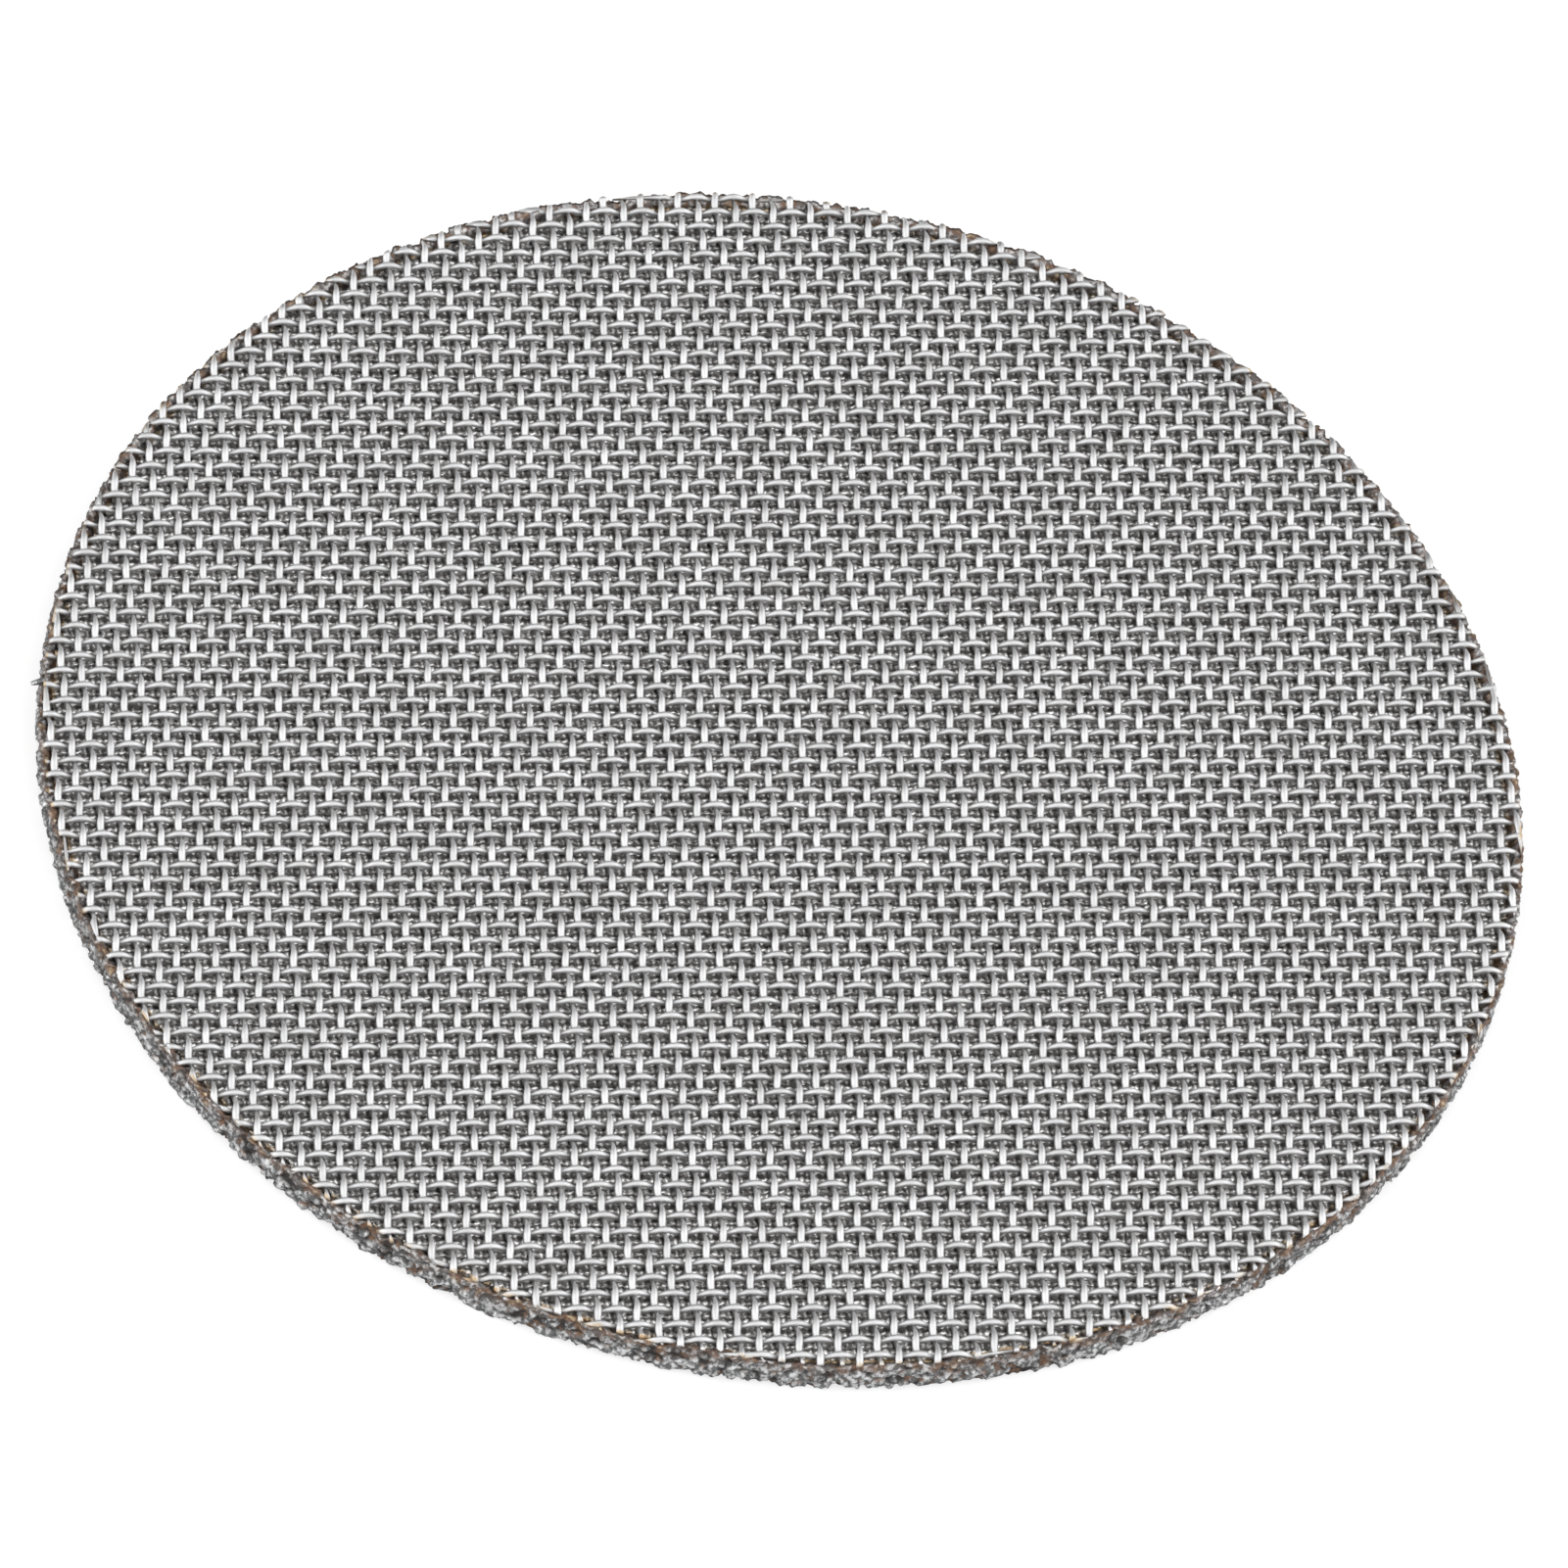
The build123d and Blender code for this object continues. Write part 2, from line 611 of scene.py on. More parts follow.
@dataclass
class WovenLayer:
    """One coarse mesh layer: all its warp and weft wires, cut off at a radius."""

    name: str
    weave: Weave
    middle: float  # height of the middle of the mesh
    radius: float
    steps: int  # samples from one crossing to the next
    sets: int  # pieces that share out the wires of a direction
    seed: int
    crest_turn: float = 0.0  # pi where the pressed crests are on the lower face
    sides: int = 6
    wander: float = 0.011 * MM  # how far the crossings stray
    wander_up: float = 0.5  # share of it that they stray in height
    shortest: float = 0.5 * MM  # half length below which a wire is left out
    ragged: float = 0.07 * MM  # how far a wire's end may fall short of the radius
    end_step: float = 0.3  # least room before the cut, in steps
    end_slant: float = 1.1  # least room before the cut, in slants of the wire's end

    def build(self) -> list[tuple[bpy.types.Object, Run]]:
        """Builds the wires of both directions, shared out over the layer's sets.

        Returns:
            Each new piece with the way that its wires run.
        """
        made = []
        for run in Run:
            for part in range(self.sets):
                suffix = f"_{part + 1}" if self.sets > 1 else ""
                points, faces, uv = self.wires(run, part)
                made.append((surface(f"{self.name}_{run.value}{suffix}", points, faces, uv), run))
        return made

    def wires(self, run: Run, part: int) -> tuple[np.ndarray, list[np.ndarray], np.ndarray]:
        """Sweeps a round section along every wire of one set.

        Wire k lies at start + k pitch. Along it the height follows the crimp
        middle + a cos(pi (n + k)), where n counts the crossing wires passed and a is the
        crimp, with the sign turned for the warp, so that neighbours alternate. The weft also
        sways sideways by the sine of the same angle, which slants its crests. Seeded noise
        moves each crossing a little. Samples stand at even steps, and the first and last
        are moved to the cut: with the skew q and the side place s, the root of
        a a + (s - q a) (s - q a) = cut cut is the length a that reaches it.

        Args:
            run: the way the wires run.
            part: which set of wires, counted from 0.

        Returns:
            Points, blocks of faces and the corners' UV places.
        """
        rng = np.random.default_rng((self.seed, list(Run).index(run)))
        pitch, start = self.weave.across(run)
        other = Run.WEFT if run is Run.WARP else Run.WARP
        cross_pitch, cross_start = self.weave.across(other)
        reach = int(self.radius / pitch) + 2
        number = np.arange(-reach, reach + 1)
        side = start + number * pitch
        cut = self.radius - self.ragged * rng.random((2, len(number)))
        lean = self.weave.skew if run is Run.WEFT else 0.0
        root = np.sqrt(np.maximum((1 + lean**2) * cut**2 - side**2, 0.0))
        half = (root + lean * np.stack([-side, side])) / (1 + lean**2)
        crossings = int(self.radius / cross_pitch) + 3
        drift = rng.normal(0.0, self.wander, (2, len(number), 2 * crossings + 3))
        kept = (half.min(axis=0) > self.shortest) & (number % self.sets == part)
        number, side = number[kept], side[kept]
        half, drift, cut = half[:, kept], drift[:, kept], cut[:, kept]

        step = cross_pitch / self.steps
        sample = np.arange(-crossings * self.steps, crossings * self.steps + 1) * step
        shift = -self.weave.skew * side if run is Run.WARP else np.zeros_like(side)
        even = cross_start + shift[:, None] + sample[None, :]
        limit = np.where(even < 0, half[0][:, None], half[1][:, None])
        slant = self.weave.wire(run) / 2 * np.abs(side) / half.min(axis=0)
        room = np.maximum(self.end_step * step, self.end_slant * slant)
        inner = np.abs(even) < limit - room[:, None]
        used = inner.copy()
        used[:, 1:] |= inner[:, :-1]
        used[:, :-1] |= inner[:, 1:]
        along = np.where(inner, even, np.sign(even) * limit)
        reach_out = np.where(inner, 0.0, np.where(even < 0, cut[0][:, None], cut[1][:, None]))
        passed = (along - cross_start - shift[:, None]) / cross_pitch
        phase = math.pi * (passed + number[:, None])
        sign = -1.0 if run is Run.WARP else 1.0
        crimp = sign * self.weave.crimp(run)
        whole = np.floor(passed).astype(int)
        part_way = smooth_step(passed - whole)
        row = np.arange(len(number))[:, None]
        column = np.clip(whole + crossings, 0, 2 * crossings + 1)
        moved = drift[:, row, column] * (1 - part_way) + drift[:, row, column + 1] * part_way
        lateral = side[:, None] + moved[0]
        if run is Run.WEFT:
            lateral = lateral - self.weave.skew * along + self.weave.sway * np.sin(phase)
        height = self.middle + crimp * np.cos(phase) + self.wander_up * moved[1]
        slope = -crimp * math.pi / cross_pitch * np.sin(phase)
        width = self.weave.swell(run, phase + self.crest_turn)
        return self.sweep(run, used, along, lateral, width, height, slope, reach_out)

    def sweep(
        self,
        run: Run,
        used: np.ndarray,
        along: np.ndarray,
        lateral: np.ndarray,
        width: np.ndarray,
        height: np.ndarray,
        slope: np.ndarray,
        cut: np.ndarray,
    ) -> tuple[np.ndarray, list[np.ndarray], np.ndarray]:
        """Carries a regular section along the sampled wires and closes both ends.

        A ring's point is centre + r (w cos t across + sin t up), where w is the width and up
        leans back by the slope. The points of an end ring slide along the wire to the round
        cut, so that the end is flush with the rim. Quads join a wire's neighbouring rings.

        Args:
            run: the way the wires run.
            used: which samples of each wire exist.
            along: place of each sample along its wire.
            lateral: place of each sample across the wires.
            width: width of each sample as a share of the wire's diameter.
            height: height of each sample.
            slope: rise of the wire at each sample.
            cut: radius of the cut at each end sample, and 0 elsewhere.

        Returns:
            Points, blocks of faces and the corners' UV places.
        """
        around = (np.arange(self.sides) + 0.5) * 2 * math.pi / self.sides
        thick = self.weave.wire(run) / 2
        lean = 1.0 / np.sqrt(1.0 + slope[used] ** 2)
        up = thick * np.sin(around)[None, :]
        run_along = along[used][:, None] - up * (slope[used] * lean)[:, None]
        run_across = lateral[used][:, None] + thick * width[used][:, None] * np.cos(around)[None, :]
        run_up = height[used][:, None] + up * lean[:, None]
        flush = np.sqrt(np.maximum(cut[used][:, None] ** 2 - run_across**2, 0.0))
        flush = np.sign(along[used])[:, None] * flush
        run_along = np.where(cut[used][:, None] > 0, flush, run_along)
        axes = (run_along, run_across, run_up)
        if run is Run.WEFT:
            axes = (run_across, run_along, run_up)
        points = np.stack(axes, axis=-1).reshape(-1, 3)

        ring = np.cumsum(used.ravel()).reshape(used.shape) - 1
        joined = used[:, :-1] & used[:, 1:]
        wire_row = np.broadcast_to(np.arange(len(used))[:, None], used.shape)
        turn = np.arange(self.sides)
        after = (turn + 1) % self.sides
        first = ring[:, :-1][joined][:, None] * self.sides
        second = ring[:, 1:][joined][:, None] * self.sides
        skin = np.stack([first + turn, first + after, second + after, second + turn], axis=-1)
        strip = (wire_row[:, :-1][joined][:, None] + turn / self.sides) / len(used)
        strip_end = strip + 1.0 / (self.sides * len(used))
        place = 0.5 + along / (2 * self.radius)
        here = np.broadcast_to(place[:, :-1][joined][:, None], strip.shape)
        there = np.broadcast_to(place[:, 1:][joined][:, None], strip.shape)
        skin_u = np.stack([here, here, there, there], axis=-1)
        skin_v = np.stack([strip, strip_end, strip_end, strip], axis=-1)

        opening = used & ~np.pad(used, ((0, 0), (1, 0)))[:, :-1]
        closing = used & ~np.pad(used, ((0, 0), (0, 1)))[:, 1:]
        fan = np.arange(1, self.sides - 1, 2)
        cap = np.stack([0 * fan, fan + 2, fan + 1, fan], axis=-1)
        caps = [
            (ring[opening][:, None, None] * self.sides + cap % self.sides).reshape(-1, 4),
            (ring[closing][:, None, None] * self.sides + cap[:, ::-1] % self.sides).reshape(-1, 4),
        ]
        faces = np.concatenate([skin.reshape(-1, 4), *caps])
        cap_uv = np.zeros((4 * sum(len(block) for block in caps), 2))
        uv = np.concatenate([np.stack([skin_u, skin_v], axis=-1).reshape(-1, 2), cap_uv])
        if run is Run.WARP:
            return points, [faces], uv
        turned = uv.reshape(-1, 4, 2)[:, ::-1].reshape(-1, 2)
        return points, [faces[:, ::-1]], turned


@dataclass
class FineCore:
    """The fine mesh between the coarse layers, as one closed slab with relief on both faces."""

    name: str
    warp_pitch: float
    weft_pitch: float
    bottom: float
    top: float
    radius: float
    relief: float
    crossing_spread: float = 1.8  # range of the crossings' heights, in reliefs
    pore_spread: float = 1.2  # range of the pores' heights, in reliefs
    uv_middle: float = 0.25
    uv_room: float = 4.2  # radii across the whole UV map
    seed: int = 17

    @staticmethod
    def corners(grid: np.ndarray) -> tuple[np.ndarray, ...]:
        """Returns a grid's views at the four corners of its cells, in turn around a cell."""
        return grid[:-1, :-1], grid[1:, :-1], grid[1:, 1:], grid[:-1, 1:]

    def build(self) -> bpy.types.Object:
        """Builds the slab on the lattice of the fine wires' crossings.

        Crossings are corners of the cells, at seeded heights. On the upper face each cell has
        a pore at its centre, lower by the relief and a seeded share of it, and four triangles
        run down to it. On the lower face the crossings stand alternately out and in, one quad
        a cell. Cells that reach past the radius are left out, and quads close the stepped
        side. The two faces lie in two quarters of the UV map.

        Returns:
            The new object.
        """
        reach_x = int(self.radius / self.weft_pitch) + 1
        reach_y = int(self.radius / self.warp_pitch) + 1
        count_x = np.arange(-reach_x, reach_x + 1)
        count_y = np.arange(-reach_y, reach_y + 1)
        place_x, place_y = count_x * self.weft_pitch, count_y * self.warp_pitch
        corner_x, corner_y = np.meshgrid(place_x, place_y, indexing="ij")
        near = np.hypot(corner_x, corner_y) < self.radius
        cell = np.logical_and.reduce(self.corners(near))
        used = np.zeros_like(near)
        for view in self.corners(used):
            view |= cell
        total = int(used.sum())
        upper = np.cumsum(used.ravel()).reshape(used.shape) - 1
        lower = upper + total
        pore = np.cumsum(cell.ravel()).reshape(cell.shape) - 1 + 2 * total

        odd = (count_x[:, None] + count_y[None, :]) % 2
        flat = np.stack([corner_x[used], corner_y[used]], axis=-1)
        rng = np.random.default_rng(self.seed)
        high = self.top - self.crossing_spread * self.relief * rng.random((total, 1))
        low = self.bottom + self.relief * odd[used][:, None]
        pore_x = corner_x[:-1, :-1][cell] + self.weft_pitch / 2
        pore_y = corner_y[:-1, :-1][cell] + self.warp_pitch / 2
        middle = np.stack([pore_x, pore_y], axis=-1)
        deep = self.top - self.relief * (1 + self.pore_spread * rng.random((len(middle), 1)))
        points = np.concatenate(
            [np.hstack([flat, high]), np.hstack([flat, low]), np.hstack([middle, deep])]
        )
        ring = [view[cell] for view in self.corners(upper)]
        first, *others = [view[cell] for view in self.corners(lower)]
        under = [first, *others[::-1]]
        funnels = [
            np.stack([ring[turn], ring[(turn + 1) % 4], pore[cell]], axis=-1) for turn in range(4)
        ]
        walls = self.walls(cell, upper, lower)
        faces = [np.concatenate(funnels), np.concatenate([np.stack(under, axis=-1), walls])]
        corners = np.concatenate([block.ravel() for block in faces])
        uv = self.uv_middle + points[corners][:, :2] / (self.uv_room * self.radius)
        below = np.arange(len(corners)) >= faces[0].size
        uv[below] += 2 * self.uv_middle
        return surface(self.name, points, faces, uv)

    def walls(self, cell: np.ndarray, upper: np.ndarray, lower: np.ndarray) -> np.ndarray:
        """Finds the cells' sides with no neighbour and closes them.

        Args:
            cell: which cells exist.
            upper: numbers of the upper corners.
            lower: numbers of the lower corners.

        Returns:
            One quad for each open side, facing outwards.
        """
        padded = np.pad(cell, 1)
        sides = (
            (padded[:-2, 1:-1], (0, 1), (0, 0)),
            (padded[2:, 1:-1], (1, 0), (1, 1)),
            (padded[1:-1, :-2], (0, 0), (1, 0)),
            (padded[1:-1, 2:], (1, 1), (0, 1)),
        )
        quads = []
        rows, columns = cell.shape
        for neighbour, (ax, ay), (bx, by) in sides:
            bare = cell & ~neighbour
            first = np.s_[ax : ax + rows, ay : ay + columns]
            second = np.s_[bx : bx + rows, by : by + columns]
            turn = ((upper, first), (lower, first), (lower, second), (upper, second))
            quads.append(np.stack([grid[place][bare] for grid, place in turn], axis=-1))
        return np.concatenate(quads)


@dataclass(frozen=True)
class WallNoise:
    """One size of seeded noise on the cut wall, counted in cells around and up."""

    weight: float
    cells: tuple[int, int]
    seed: int
    slant: float = 0.0
    folded: bool = False

    def over(self, shape: tuple[int, int]) -> np.ndarray:
        """Returns the weighted noise n at points around and up, as 1 - |2n - 1| if folded."""
        noise = value_noise(shape, self.cells, self.seed, self.slant)
        return self.weight * (1 - np.abs(2 * noise - 1) if self.folded else noise)


@dataclass
class CutRim:
    """The wall that the cut left: crushed layers of mesh, streaked, dented and scorched."""

    name: str
    radius: float
    inner_radius: float
    bottom: float
    top: float
    lip: float = 0.16 * MM
    lip_drop: float = 0.03 * MM
    inner_drop: float = 0.5 * MM
    inner_rise: float = 0.1 * MM
    around: int = 2600
    wall_rows: int = 15
    inner_rows: int = 3
    roughness: float = 0.26 * MM
    flakes: tuple[WallNoise, ...] = (
        WallNoise(0.45, (600, 5), 31, 0.8, folded=True),
        WallNoise(0.35, (950, 8), 32, -0.7),
        WallNoise(0.2, (1300, 13), 33, 0.5),
    )
    dent: float = 0.16 * MM
    dent_start: float = 0.46  # noise where a pit begins
    dent_span: float = 0.16  # further noise that makes it deepest
    pits: tuple[WallNoise, ...] = (
        WallNoise(0.4, (650, 5), 34, -0.9),
        WallNoise(0.35, (720, 6), 38, 0.9),
        WallNoise(0.25, (1200, 10), 35, 0.4),
    )
    wave: WallNoise = WallNoise(1.0, (300, 1), 36)
    low_wave: float = 0.2 * MM
    high_wave: float = 0.22 * MM
    scorch: WallNoise = WallNoise(0.3, (200, 2), 37)
    scorch_start: float = 0.62  # share of the wall's height where the scorch begins
    scorch_span: float = 0.3  # further share over which it grows

    def build(self) -> bpy.types.Object:
        """Builds the wall as a closed ring of profiles around the disc.

        The profile runs up the outer wall, in over a thin lip and down the inside. The outer
        wall is moved in and out by noise of three sizes, the coarsest of them folded at its
        middle so that it makes flakes with sharp edges, and pits sink where the sum of three
        others is high. Both edges of the wall rise and fall about once every two wires.

        Returns:
            The new object, with its hollow and scorch numbers on the vertices.
        """
        turn = np.arange(self.around) * 2 * math.pi / self.around
        rise = np.linspace(0.0, 1.0, self.wall_rows)
        shape = (self.around, self.wall_rows)
        rough = sum(noise.over(shape) for noise in self.flakes)
        pits = sum(noise.over(shape) for noise in self.pits)
        hollow = smooth_step((pits - self.dent_start) / self.dent_span)
        wall_radius = self.radius - self.roughness * (1 - rough) - self.dent * hollow
        wave = self.wave.over((self.around, 2))
        low = self.bottom + self.low_wave * wave[:, :1]
        high = self.top - self.high_wave * wave[:, 1:]
        wall_height = low + (high - low) * rise[None, :]
        ones = np.ones((self.around, 1))
        inside = self.inner_radius * ones
        radii = np.hstack([wall_radius, wall_radius[:, -1:] - self.lip, inside, inside])
        inner_top = self.top - self.inner_drop * ones
        heights = np.hstack([wall_height, high - self.lip_drop, inner_top, low + self.inner_rise])
        points = np.stack(
            [radii * np.cos(turn)[:, None], radii * np.sin(turn)[:, None], heights], axis=-1
        ).reshape(-1, 3)

        rows = self.wall_rows + self.inner_rows
        number = np.arange(self.around * rows).reshape(self.around, rows)
        ahead = np.roll(number, -1, axis=0)
        above = np.roll(number, -1, axis=1)
        corner = np.roll(ahead, -1, axis=1)
        faces = np.stack([number, ahead, corner, above], axis=-1).reshape(-1, 4)
        share = np.arange(self.around)[:, None] / self.around + np.zeros((1, rows))
        level = np.arange(rows)[None, :] / rows + np.zeros((self.around, 1))
        step_u, step_v = 1.0 / self.around, 1.0 / rows
        uv = np.stack(
            [
                np.stack([share, share + step_u, share + step_u, share], axis=-1),
                np.stack([level, level, level + step_v, level + step_v], axis=-1),
            ],
            axis=-1,
        ).reshape(-1, 2)
        piece = surface(self.name, points, [faces], uv)
        reach = rise[None, :] + self.scorch.over(shape) - self.scorch.weight / 2
        burnt = smooth_step((reach - self.scorch_start) / self.scorch_span)
        edge = np.hstack([burnt, ones, ones, 0 * ones])
        # depth of the pits, which the rim's finish paints with shade
        deep = np.hstack([hollow, 0 * ones, 0 * ones, 0 * ones])
        for title, values in ((HOLLOW, deep), (SCORCH, edge)):
            carried = piece.data.attributes.new(title, "FLOAT", "POINT")
            carried.data.foreach_set("value", values.astype(np.float32).ravel())
        return piece


@dataclass
class StrayWire:
    """A short end of fine wire that the cut pulled out of the rim."""

    name: str
    root: Triple
    heading: Triple
    length: float
    thickness: float
    lift: float = 0.05
    taper: float = 0.5
    sides: int = 8
    rings: int = 7

    def build(self) -> bpy.types.Object:
        """Sweeps a tapering round section along a bent line, closed at both ends.

        At the share t of the length, the middle stands at root + t length heading, raised by
        lift times the length times t squared. The radius falls by taper times t squared.

        Returns:
            The new object.
        """
        share = np.linspace(0.0, 1.0, self.rings)[:, None]
        ahead = np.array(Vector(self.heading).normalized())
        side = np.cross(ahead, (0.0, 0.0, 1.0))
        side = side / np.linalg.norm(side)
        up = np.cross(side, ahead)
        middle = np.array(self.root) + self.length * (share * ahead + self.lift * share**2 * up)
        radius = self.thickness / 2 * (1.0 - self.taper * share**2)
        around = np.arange(self.sides) * 2 * math.pi / self.sides
        ring = np.cos(around)[:, None] * side + np.sin(around)[:, None] * up
        points = (middle[:, None, :] + radius[:, :, None] * ring[None, :, :]).reshape(-1, 3)
        number = np.arange(self.rings * self.sides).reshape(self.rings, self.sides)
        after = np.roll(number, -1, axis=1)
        skin = np.stack([number[:-1], number[1:], after[1:], after[:-1]], axis=-1).reshape(-1, 4)
        faces = [skin, np.stack([number[0], number[-1][::-1]])]
        corners = sum(block.size for block in faces)
        return surface(self.name, points, faces, np.zeros((corners, 2)))


@dataclass
class MeshDisc:
    """The whole disc: two coarse woven layers, the fine core between them and the cut rim."""

    diameter: float
    thickness: float
    coarse: Weave
    # painted shade: the warp gets a darker copy of the weft's steel, because its crowns catch less
    # light
    warp_shaded_pale: Colour = (0.67, 0.67, 0.675)
    warp_shaded_dull: Colour = (0.56, 0.56, 0.562)
    fine_warp_pitch: float = 0.294 * MM
    fine_weft_pitch: float = 0.2913 * MM
    fine_relief: float = 0.065 * MM
    fine_heat_reach: float = 1.15 * MM
    fine_heat: float = 0.72
    pressed: float = 0.1 * MM  # how far each coarse mesh sinks into the core
    wire_inset: float = 0.05 * MM
    low_inset: float = 0.2 * MM
    rim_burr: float = 0.14 * MM
    core_inset: float = 0.3 * MM
    rim_depth: float = 0.55 * MM
    rim_drop: float = 0.55
    stray_turn: float = math.radians(171.5)
    stray_inset: float = 0.25 * MM
    stray_drop: float = 1.5
    stray_bend: Span = (-0.25, -0.3)
    stray_length: float = 0.66 * MM
    stray_thickness: float = 0.3 * MM

    def build(self) -> list[bpy.types.Object]:
        """The rim's top and the stray wire's root lie below the top face by their drops, which
        are counted in half heights of the coarse mesh.

        Returns:
            The new pieces.
        """
        radius = self.diameter / 2
        half = self.coarse.half_height()
        heat = HeatTint(radius)
        warp = WireFinish(Run.WARP, self.thickness, heat, self.warp_shaded_pale, self.warp_shaded_dull)
        weft = WireFinish(Run.WEFT, self.thickness, heat)
        wire_steel = {finish.run: finish.material() for finish in (warp, weft)}
        pieces = []
        upper = WovenLayer(
            "top_mesh",
            self.coarse,
            middle=self.thickness - half,
            radius=radius - self.wire_inset,
            steps=4,
            sets=2,
            seed=5,
        )
        lower = WovenLayer(
            "bottom_mesh",
            self.coarse,
            middle=half,
            radius=radius - self.low_inset,
            steps=2,
            sets=1,
            seed=7,
            crest_turn=math.pi,
        )
        for woven in (upper, lower):
            for piece, run in woven.build():
                pieces.append(self.dress(piece, wire_steel[run]))
        core = FineCore(
            "fine_mesh_core",
            self.fine_warp_pitch,
            self.fine_weft_pitch,
            bottom=2 * half - self.pressed,
            top=self.thickness - 2 * half + self.pressed,
            radius=radius - self.core_inset,
            relief=self.fine_relief,
        )
        fine_heat = HeatTint(radius, self.fine_heat_reach, self.fine_heat)
        fine_steel = FineMeshFinish(self.fine_warp_pitch, self.fine_weft_pitch, fine_heat)
        pieces.append(self.dress(core.build(), fine_steel.material()))
        rim = CutRim(
            "cut_rim",
            radius=radius + self.rim_burr,
            inner_radius=radius - self.rim_depth,
            bottom=0.0,
            top=self.thickness - self.rim_drop * half,
        )
        rim_steel = CutRimFinish().material()
        pieces.append(self.dress(rim.build(), rim_steel))
        out_x, out_y = math.cos(self.stray_turn), math.sin(self.stray_turn)
        foot = radius - self.stray_inset
        root = (foot * out_x, foot * out_y, self.thickness - self.stray_drop * half)
        aside, down = self.stray_bend
        heading = (out_x, out_y + aside, down)
        stray = StrayWire("stray_wire", root, heading, self.stray_length, self.stray_thickness)
        pieces.append(self.dress(stray.build(), rim_steel))
        return pieces

    def dress(self, piece: bpy.types.Object, material: bpy.types.Material) -> bpy.types.Object:
        """Gives a piece its material and its body, and hides the imported solid that it stands for.

        Args:
            piece: piece to dress.
            material: its material.

        Returns:
            The same piece.
        """
        piece.data.materials.append(material)
        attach(piece, BODY)
        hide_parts(NODE)
        triangles = sum(len(face.vertices) - 2 for face in piece.data.polygons)
        LOG.info("%s: %d triangles", piece.name, triangles)
        return piece


@dataclass(frozen=True)
class Camera:
    """The photograph's viewpoint, fitted to the weave and the outline."""

    picture: float = 1601.0  # pixels, as the next three
    focal: float = 17351.0
    centre_x: float = 802.4
    centre_y: float = 776.7
    distance: float = 663.9 * MM
    azimuth: float = math.radians(16.28)
    elevation: float = math.radians(50.49)
    roll: float = math.radians(12.80)
    sensor: float = 36.0  # millimetres, as the camera's data has it

    def build(self, centre: Vector) -> bpy.types.Object:
        """Puts the camera where the centre of the top face falls on its pixel.

        Args:
            centre: centre of the top face.

        Returns:
            The camera, set as the scene's own.
        """
        level, down = math.cos(self.elevation), -math.sin(self.elevation)
        east, north = math.sin(self.azimuth), math.cos(self.azimuth)
        ahead = Vector((east * level, north * level, down))
        flat_right = Vector((north, -east, 0.0))
        flat_up = flat_right.cross(ahead)
        right = flat_right * math.cos(self.roll) + flat_up * math.sin(self.roll)
        up = flat_up * math.cos(self.roll) - flat_right * math.sin(self.roll)
        scale = self.distance / self.focal
        aside = (self.centre_x - self.picture / 2) * scale
        above = (self.picture / 2 - self.centre_y) * scale
        data = bpy.data.cameras.new("camera")
        data.sensor_width = self.sensor
        data.lens = self.focal / self.picture * self.sensor
        camera = bpy.data.objects.new("camera", data)
        place = centre - ahead * self.distance - right * aside - up * above
        turned = Matrix((right, up, -ahead)).transposed().to_4x4()
        camera.matrix_world = Matrix.Translation(place) @ turned
        bpy.context.scene.collection.objects.link(camera)
        bpy.context.scene.camera = camera
        return camera


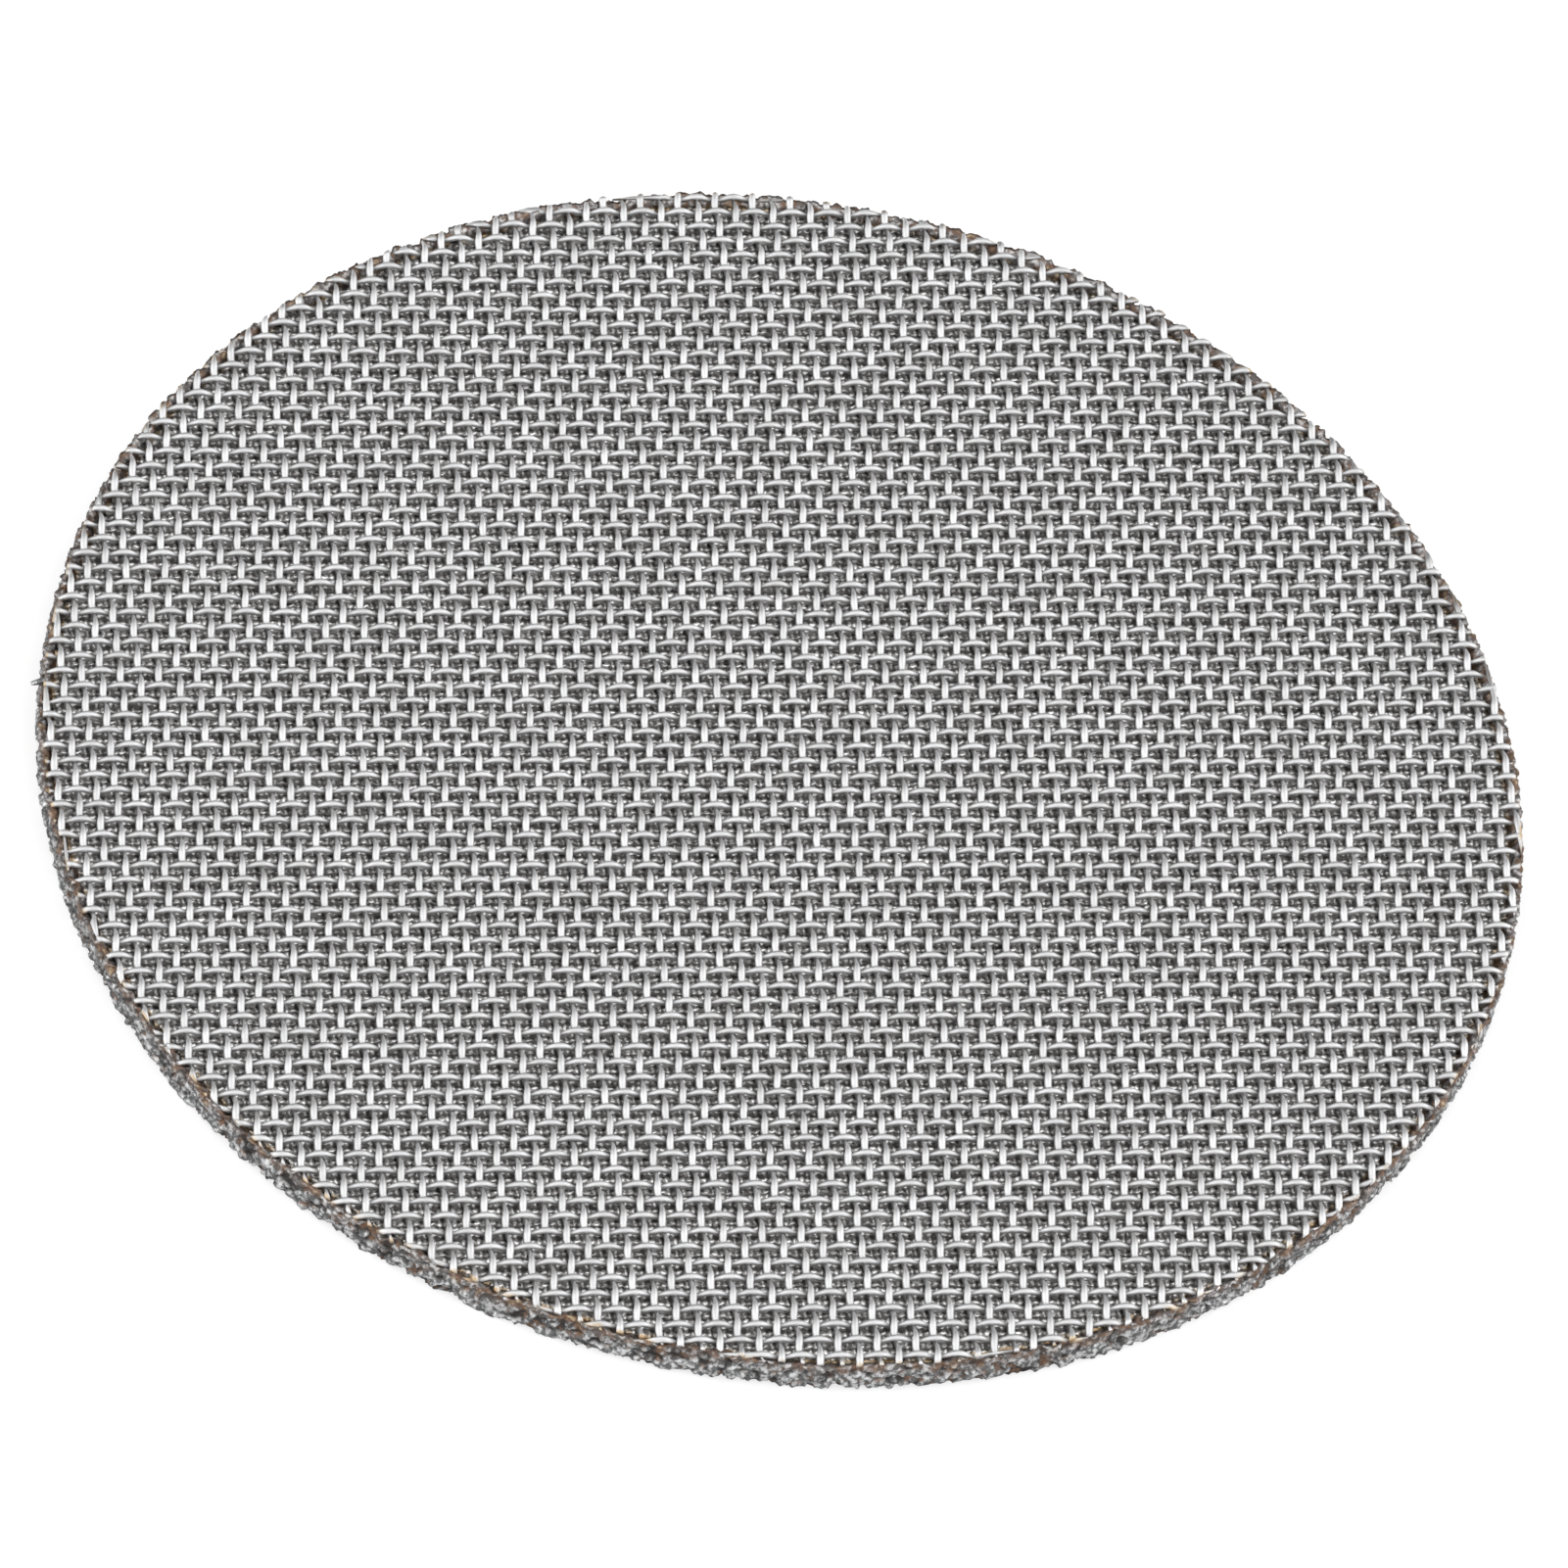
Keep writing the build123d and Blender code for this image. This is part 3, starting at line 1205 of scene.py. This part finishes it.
@dataclass(frozen=True)
class Studio:
    """Pale floor and a soft dome of light, an arch from the left over the part to the right."""

    floor_half: float = 2.5
    floor_colour: Colour = (0.92, 0.92, 0.92)
    lift: float = 0.6  # share of white that the camera sees in the floor
    white: float = 1.1
    sides: float = 2.4  # light from left and right
    ends: float = 0.5  # light from front and back
    overhead: float = 1.2
    front: float = 0.55  # light that moves from the back to the front

    def build(self) -> None:
        """Builds the floor and the world."""
        points = self.floor_half * np.array([[-1, -1, 0], [1, -1, 0], [1, 1, 0], [-1, 1, 0]])
        floor = surface("floor", points, [np.array([[0, 1, 2, 3]])], np.zeros((4, 2)))
        floor.data.materials.append(self.floor_material())
        self.world()

    def floor_material(self) -> bpy.types.Material:
        """Builds pale matt floor that the camera sees lifted towards white.

        Returns:
            The material.
        """
        material = bpy.data.materials.new("pale_floor")
        material.use_nodes = True
        nodes = material.node_tree.nodes
        nodes.clear()
        matt = nodes.new("ShaderNodeBsdfDiffuse")
        matt.inputs["Color"].default_value = (*self.floor_colour, 1.0)
        white = nodes.new("ShaderNodeEmission")
        white.inputs["Strength"].default_value = self.white
        output = nodes.new("ShaderNodeOutputMaterial")
        self.whiten(material.node_tree, matt, white, self.lift, output)
        return material

    @staticmethod
    def whiten(
        tree: bpy.types.NodeTree,
        plain: bpy.types.Node,
        white: bpy.types.Node,
        share: float,
        output: bpy.types.Node,
    ) -> None:
        """Blends white into a shader for the rays that come straight from the camera.

        Args:
            tree: node tree to build in.
            plain: shader for all other rays.
            white: shader to blend in.
            share: how much of it the camera sees.
            output: node that takes the result.
        """
        seen = tree.nodes.new("ShaderNodeMath")
        seen.operation = "MULTIPLY"
        seen.inputs[1].default_value = share
        path = tree.nodes.new("ShaderNodeLightPath")
        tree.links.new(path.outputs["Is Camera Ray"], seen.inputs[0])
        blend = tree.nodes.new("ShaderNodeMixShader")
        for socket, node in zip(blend.inputs, (seen, plain, white)):
            tree.links.new(node.outputs[0], socket)
        tree.links.new(blend.outputs[0], output.inputs["Surface"])

    def world(self) -> None:
        """Surrounds the part with a dome of light, which the camera sees as white.

        In the direction (x, y, z) the dome's level is sides x x + ends y y + overhead z z,
        less front times y, and never below nothing.
        """
        world = bpy.data.worlds.new("studio")
        world.use_nodes = True
        nodes, links = world.node_tree.nodes, world.node_tree.links
        nodes.clear()
        soft = nodes.new("ShaderNodeBackground")
        direction = nodes.new("ShaderNodeTexCoord").outputs["Generated"]
        squares = nodes.new("ShaderNodeVectorMath")
        squares.operation = "MULTIPLY"
        links.new(direction, squares.inputs[0])
        links.new(direction, squares.inputs[1])
        both = nodes.new("ShaderNodeMath")
        both.operation = "ADD"
        level = (squares.outputs["Vector"], (self.sides, self.ends, self.overhead))
        lean = (direction, (0.0, -self.front, 0.0))
        for socket, (vector, weights) in zip(both.inputs, (level, lean)):
            dot = nodes.new("ShaderNodeVectorMath")
            dot.operation = "DOT_PRODUCT"
            links.new(vector, dot.inputs[0])
            dot.inputs[1].default_value = weights
            links.new(dot.outputs["Value"], socket)
        held = nodes.new("ShaderNodeMath")
        held.operation = "MAXIMUM"
        links.new(both.outputs[0], held.inputs[0])
        held.inputs[1].default_value = 0.0
        links.new(held.outputs[0], soft.inputs["Strength"])
        white = nodes.new("ShaderNodeBackground")
        for light in (soft, white):
            light.inputs["Color"].default_value = (1.0, 1.0, 1.0, 1.0)
        output = nodes.new("ShaderNodeOutputWorld")
        self.whiten(world.node_tree, soft, white, share=1.0, output=output)
        bpy.context.scene.world = world


def main() -> None:
    """Builds the disc, the studio and the camera in order, and reports each piece."""
    logging.basicConfig(level=logging.INFO, format="%(message)s")
    low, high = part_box(NODE)
    weave = Weave(
        warp_pitch=0.7394 * MM,
        weft_pitch=0.7583 * MM,
        warp_wire=0.26 * MM,
        weft_wire=0.32 * MM,
        warp_start=0.15 * MM,
        weft_start=0.03 * MM,
        skew=0.015,
        sway=0.038 * MM,
    )
    disc = MeshDisc(diameter=high.x - low.x, thickness=high.z - low.z, coarse=weave)
    pieces = disc.build()
    LOG.info("%d pieces", len(pieces))
    Studio().build()
    Camera().build(Vector((0.0, 0.0, high.z)))
    bpy.context.scene.view_settings.view_transform = "Standard"


if __name__ == "__main__":
    main()
